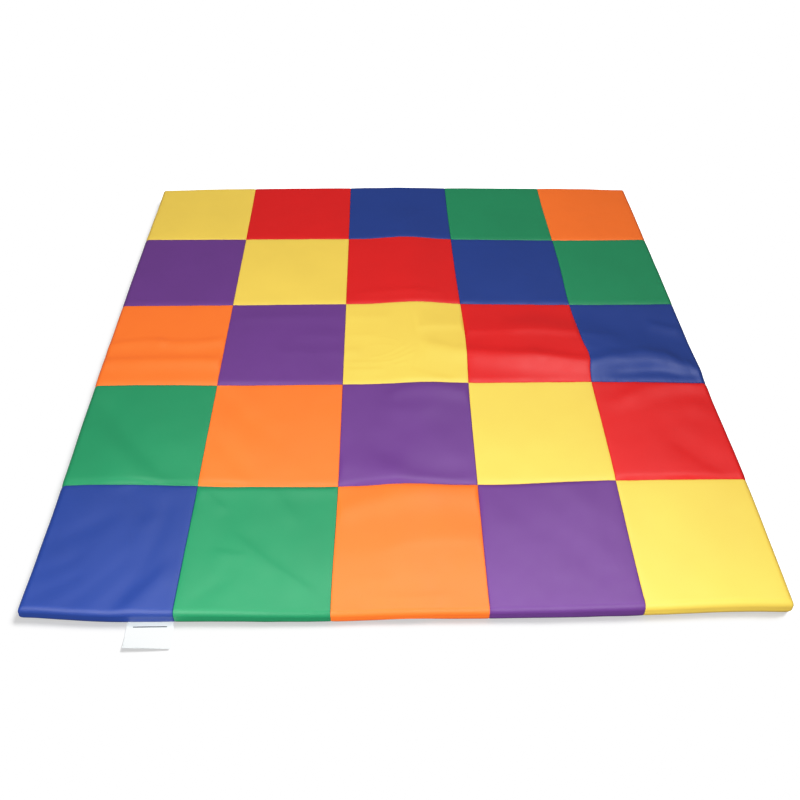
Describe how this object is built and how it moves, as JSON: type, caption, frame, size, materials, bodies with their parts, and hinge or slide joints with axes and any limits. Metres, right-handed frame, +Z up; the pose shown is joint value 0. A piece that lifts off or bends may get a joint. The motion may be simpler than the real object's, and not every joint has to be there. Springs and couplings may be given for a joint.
{
  "type": "baby play mat",
  "caption": "Square foam-filled floor play mat in a patchwork cover of coated cloth in six colours, with a plain tag in its edge seam.",
  "frame": {"origin": "middle of the mat on the floor, in its flat underside", "axes": "+X to the right and +Y to the back, seen from the edge with the tag; +Z up, out of the patchwork"},
  "size_m": [1.4741, 1.5247, 0.0458],
  "materials": {
    "yellow_cloth": "satin",
    "red_cloth": "satin",
    "blue_cloth": "satin",
    "green_cloth": "satin",
    "orange_cloth": "satin",
    "purple_cloth": "satin",
    "underside_cloth": "matte",
    "tag_cloth": "satin"
  },
  "bodies": {
    "root": {"padded_body": "underside_cloth", "patch_r1_c1_yellow": "yellow_cloth", "patch_r1_c2_red": "red_cloth", "patch_r1_c3_blue": "blue_cloth", "patch_r1_c4_green": "green_cloth", "patch_r1_c5_orange": "orange_cloth", "patch_r2_c1_purple": "purple_cloth", "patch_r2_c2_yellow": "yellow_cloth", "patch_r2_c3_red": "red_cloth", "patch_r2_c4_blue": "blue_cloth", "patch_r2_c5_green": "green_cloth", "patch_r3_c1_orange": "orange_cloth", "patch_r3_c2_purple": "purple_cloth", "patch_r3_c3_yellow": "yellow_cloth", "patch_r3_c4_red": "red_cloth", "patch_r3_c5_blue": "blue_cloth", "patch_r4_c1_green": "green_cloth", "patch_r4_c2_orange": "orange_cloth", "patch_r4_c3_purple": "purple_cloth", "patch_r4_c4_yellow": "yellow_cloth", "patch_r4_c5_red": "red_cloth", "patch_r5_c1_blue": "blue_cloth", "patch_r5_c2_green": "green_cloth", "patch_r5_c3_orange": "orange_cloth", "patch_r5_c4_purple": "purple_cloth", "patch_r5_c5_yellow": "yellow_cloth", "tag": "tag_cloth"}
  },
  "joints": []
}
